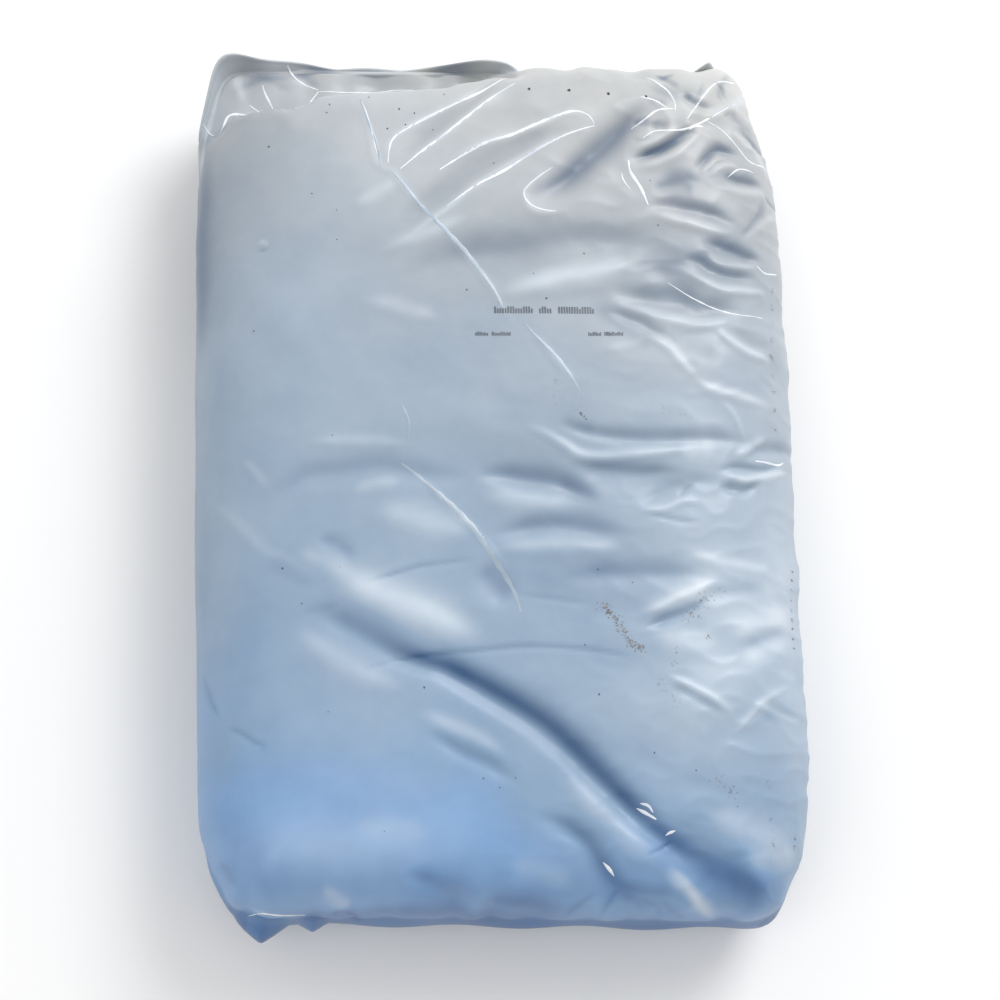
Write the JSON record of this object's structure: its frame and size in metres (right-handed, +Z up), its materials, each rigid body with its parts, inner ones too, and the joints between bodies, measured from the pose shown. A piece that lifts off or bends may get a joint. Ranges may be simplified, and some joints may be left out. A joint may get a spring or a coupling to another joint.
{
  "type": "filled garden sack",
  "caption": "Filled, sealed plastic film sack of loose garden dressing, lying on its back, with folded and gathered film and sealed ends.",
  "frame": {"origin": "centre of the bounding box at the floor, under the filled sack", "axes": "+Y towards the head of the sack, +Z up out of the face with the print, +X towards the right of the face"},
  "size_m": [0.4104, 0.605, 0.1299],
  "materials": {
    "sack_film": "pale blue-grey polyethylene film, half gloss"
  },
  "bodies": {
    "root": {"filled_sack": "sack_film"}
  },
  "joints": []
}
